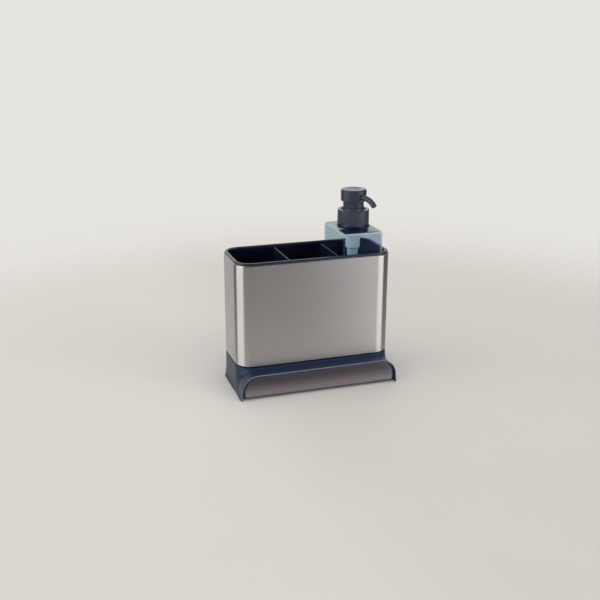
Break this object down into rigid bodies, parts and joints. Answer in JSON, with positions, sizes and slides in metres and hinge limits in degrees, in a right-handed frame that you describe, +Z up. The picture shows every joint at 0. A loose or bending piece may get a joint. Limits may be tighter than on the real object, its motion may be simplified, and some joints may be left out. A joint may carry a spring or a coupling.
{
  "type": "sink organizer",
  "caption": "Sink caddy: steel-clad bin with cells on an arched base, a pull-out drip tray and a square foaming soap dispenser.",
  "frame": {"origin": "middle of the footprint, on the counter", "axes": "+Z up, -Y is the front with the drip tray, +X towards the soap dispenser"},
  "size_m": [0.2364, 0.1189, 0.2767],
  "materials": {
    "base_plastic": "satin navy moulding",
    "foot_rubber": "matt black rubber",
    "screw_zinc": "zinc plated",
    "brushed_steel": "fine brushing along its length",
    "bin_plastic": "satin near-black moulding",
    "bottle_smoke": "smoky translucent",
    "pump_plastic": "glossy slate",
    "gasket_rubber": "matt black rubber",
    "pump_milk": "milky translucent",
    "spring_steel": "bright wire"
  },
  "bodies": {
    "organizer": {"base_frame": "base_plastic", "foot_pad_front_left": "foot_rubber", "foot_pad_front_right": "foot_rubber", "foot_pad_back_left": "foot_rubber", "foot_pad_back_right": "foot_rubber", "deck_screw_1": "screw_zinc", "deck_screw_2": "screw_zinc", "deck_screw_3": "screw_zinc", "deck_screw_4": "screw_zinc", "steel_sleeve": "brushed_steel", "inner_bin": "bin_plastic"},
    "tray": {"drip_tray": "bin_plastic", "tray_front": "brushed_steel"},
    "left_wall": {"divider_left": "bin_plastic"},
    "right_wall": {"divider_right": "bin_plastic"},
    "dispenser": {"bottle": "bottle_smoke", "neck_ring": "pump_plastic"},
    "pump": {"pump_housing": "pump_milk", "neck_gasket": "gasket_rubber", "dip_tube": "pump_milk", "return_spring": "spring_steel"},
    "collar": {"closure_collar": "pump_plastic"},
    "stem": {"pump_stem": "pump_milk", "air_piston": "pump_milk"},
    "head": {"actuator_head": "pump_plastic", "foam_mesh": "pump_milk"},
    "ball": {"valve_ball": "spring_steel"}
  },
  "joints": [
    {"name": "tray_slide", "type": "slide", "parent": "organizer", "child": "tray", "axis": [0, -1, 0], "range_m": [0, 0.1]},
    {"name": "divider_left_lift", "type": "slide", "parent": "organizer", "child": "left_wall", "axis": [0, 0, 1], "range_m": [0, 0.142]},
    {"name": "divider_right_lift", "type": "slide", "parent": "organizer", "child": "right_wall", "axis": [0, 0, 1], "range_m": [0, 0.142]},
    {"name": "bottle_liftout", "type": "slide", "parent": "organizer", "child": "dispenser", "axis": [0, 0, 1], "range_m": [0, 0.145]},
    {"name": "pump_liftout", "type": "slide", "parent": "dispenser", "child": "pump", "axis": [0, 0, 1], "range_m": [0, 0.186]},
    {"name": "collar_turn", "type": "hinge", "parent": "pump", "child": "collar", "pos_m": [0.0713, 0.0085, 0.235], "axis": [0, 0, 1], "range_deg": [0, 540]},
    {"name": "pump_press", "type": "slide", "parent": "pump", "child": "stem", "axis": [0, 0, -1], "range_m": [0, 0.01], "stiffness_N_per_m": 500, "springref_m": -0.01, "deforming": ["return_spring"]},
    {"name": "head_swivel", "type": "hinge", "parent": "stem", "child": "head", "pos_m": [0.0713, 0.0085, 0.268], "axis": [0, 0, 1], "continuous": true},
    {"name": "ball_lift", "type": "slide", "parent": "pump", "child": "ball", "axis": [0, 0, 1], "range_m": [0, 0.0015]}
  ]
}
